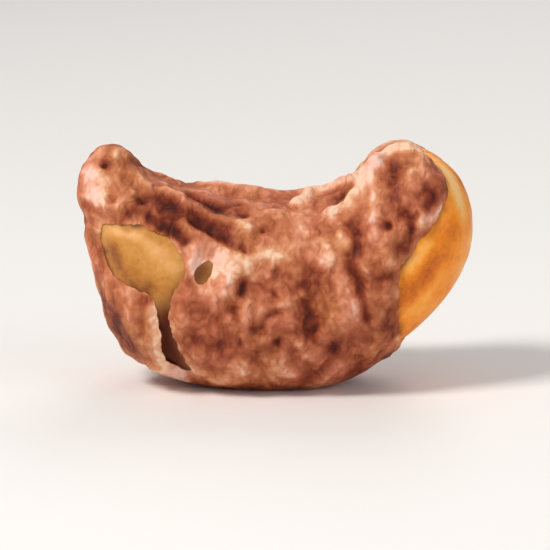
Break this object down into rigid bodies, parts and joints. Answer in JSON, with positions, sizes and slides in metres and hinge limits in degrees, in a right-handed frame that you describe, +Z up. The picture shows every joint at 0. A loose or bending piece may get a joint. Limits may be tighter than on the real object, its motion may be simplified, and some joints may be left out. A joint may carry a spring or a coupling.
{
  "type": "roasted cashew nut in its skin",
  "caption": "Curved kidney-shaped nut in a thin wrinkled brown skin, torn at both ends to show the golden kernel, resting on its convex back.",
  "frame": {"origin": "on the surface that the nut rests on, under the middle of its bounding box", "axes": "+X along the nut towards its larger round end, +Y across its thickness away from the torn front, +Z up towards the hollow side"},
  "size_m": [0.0274, 0.0133, 0.0173],
  "materials": {
    "kernel": "smooth golden roasted nut meat with a slight oily sheen",
    "skin": "dry papery wrinkled reddish-brown skin, pale on its ridges and dark in its creases"
  },
  "bodies": {
    "root": {"kernel": "kernel", "skin": "skin"}
  },
  "joints": []
}
